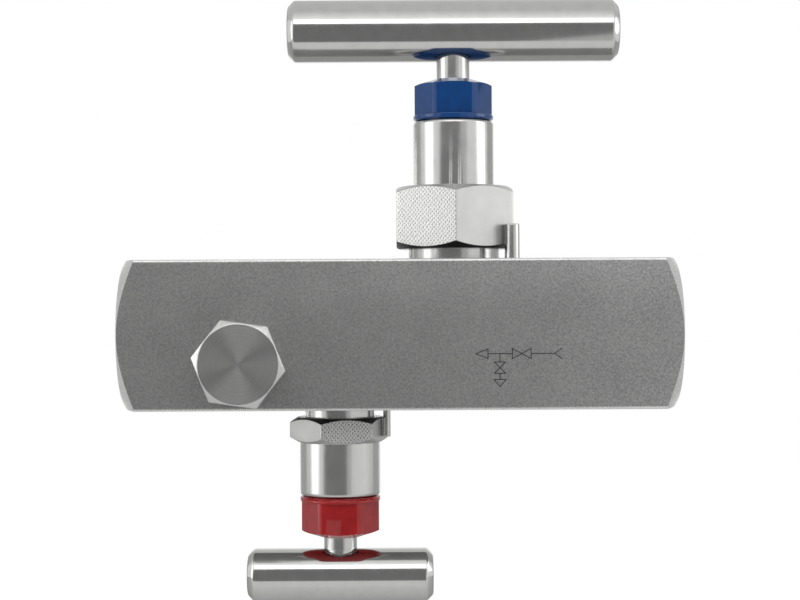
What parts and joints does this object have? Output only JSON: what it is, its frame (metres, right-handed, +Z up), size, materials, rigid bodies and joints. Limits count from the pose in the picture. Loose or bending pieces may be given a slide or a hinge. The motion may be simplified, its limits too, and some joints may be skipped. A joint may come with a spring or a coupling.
{
  "type": "instrument valve manifold",
  "caption": "Block-and-bleed valve manifold: square steel block with tapped ends, T-handle isolation valve above, T-handle bleed valve below, plugged vent.",
  "frame": {"origin": "on the inlet port's axis, where its thread begins, 0.8 mm inside the inlet end face", "axes": "+X out of the inlet port, +Z up along the isolation valve's stem, -Y towards the front face with the vent plug"},
  "size_m": [0.119, 0.04, 0.1306],
  "materials": {
    "block_steel": "matte, finely grained stainless steel",
    "bonnet_steel": "turned stainless steel",
    "plug_steel": "faced stainless steel",
    "stem_steel": "ground stainless steel",
    "handle_steel": "polished stainless steel",
    "pin_steel": "ground steel pin",
    "screw_steel": "blackened steel",
    "seal_iron": "soft iron",
    "packing": "white fluoropolymer",
    "cap_blue": "glossy blue moulded plastic",
    "cap_red": "glossy red moulded plastic"
  },
  "bodies": {
    "root": {"valve_block": "block_steel", "vent_plug": "plug_steel", "isolation_bonnet": "bonnet_steel", "isolation_bonnet_seal": "seal_iron", "isolation_lock_pin": "pin_steel", "isolation_packing_washer": "pin_steel", "isolation_packing_rings": "packing", "isolation_gland_bush": "pin_steel", "isolation_gland_nut": "bonnet_steel", "isolation_dust_cap": "cap_blue", "bleed_bonnet": "bonnet_steel", "bleed_bonnet_seal": "seal_iron", "bleed_lock_pin": "pin_steel", "bleed_packing_washer": "pin_steel", "bleed_packing_rings": "packing", "bleed_gland_bush": "pin_steel", "bleed_gland_nut": "bonnet_steel", "bleed_dust_cap": "cap_red"},
    "isolation_tip_body": {"isolation_stem_tip": "stem_steel"},
    "isolation_stem_body": {"isolation_stem": "stem_steel", "isolation_handle_bar": "handle_steel", "isolation_handle_screw": "screw_steel"},
    "bleed_tip_body": {"bleed_stem_tip": "stem_steel"},
    "bleed_stem_body": {"bleed_stem": "stem_steel", "bleed_handle_bar": "handle_steel", "bleed_handle_screw": "screw_steel"}
  },
  "joints": [
    {"name": "isolation_rise", "type": "slide", "parent": "root", "child": "isolation_tip_body", "axis": [0, 0, 1], "range_m": [0, 0.003]},
    {"name": "isolation_turn", "type": "hinge", "parent": "isolation_tip_body", "child": "isolation_stem_body", "pos_m": [-0.0469, 0, 0], "axis": [0, 0, 1], "range_deg": [0, 1080]},
    {"name": "bleed_rise", "type": "slide", "parent": "root", "child": "bleed_tip_body", "axis": [0, 0, -1], "range_m": [0, 0.003]},
    {"name": "bleed_turn", "type": "hinge", "parent": "bleed_tip_body", "child": "bleed_stem_body", "pos_m": [-0.0719, 0, 0], "axis": [0, 0, -1], "range_deg": [0, 1080]}
  ],
  "couplings": [
    {"joint": "isolation_rise", "follows": "isolation_turn", "m_per_rad": 0.00015915},
    {"joint": "bleed_rise", "follows": "bleed_turn", "m_per_rad": 0.00015915}
  ]
}
